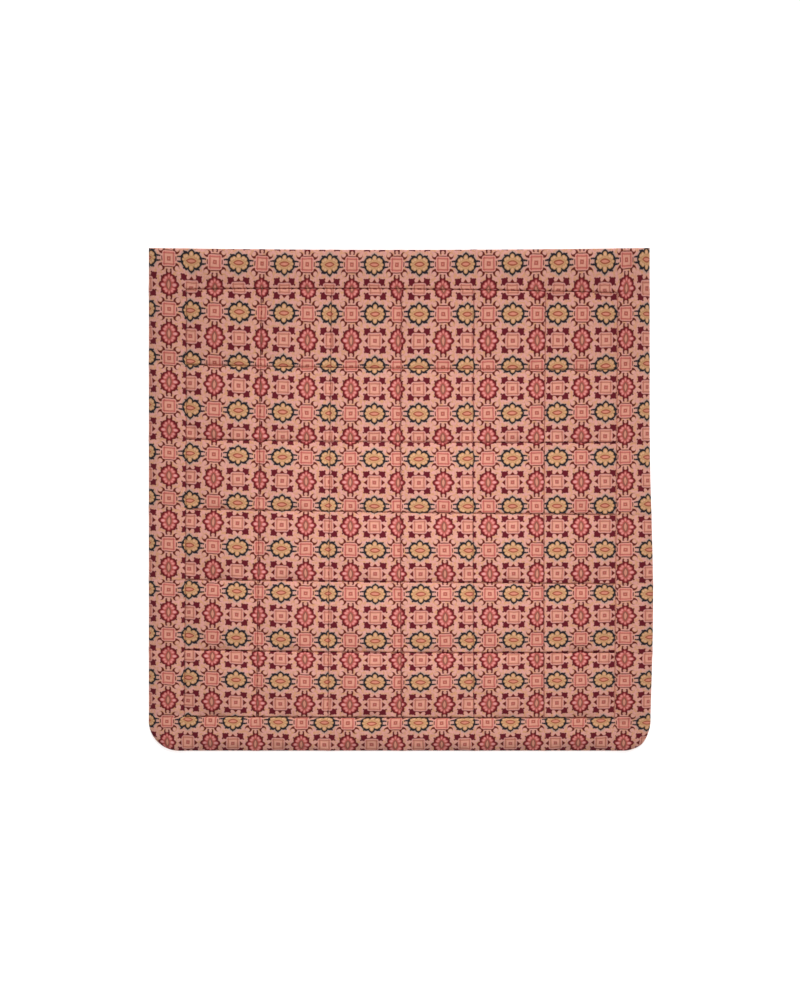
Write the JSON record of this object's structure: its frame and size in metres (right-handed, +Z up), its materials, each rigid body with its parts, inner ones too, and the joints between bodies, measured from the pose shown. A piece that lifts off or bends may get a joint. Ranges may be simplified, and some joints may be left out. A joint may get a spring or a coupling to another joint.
{
  "type": "quilt",
  "caption": "Filled bed quilt lying flat, sewn through in a grid of puffed cells inside a loose border, with square head corners and round foot corners.",
  "frame": {"origin": "middle of the outline, on the floor that the quilt lies on", "axes": "+Z up through the quilt's thickness, +Y towards the head end with the square corners, +X to the right seen from above"},
  "size_m": [2.6159, 2.608, 0.037],
  "materials": {
    "printed_cotton": "matte printed cotton, salmon ground with crimson, navy and cream motifs"
  },
  "bodies": {
    "root": {"quilt": "printed_cotton"}
  },
  "joints": []
}
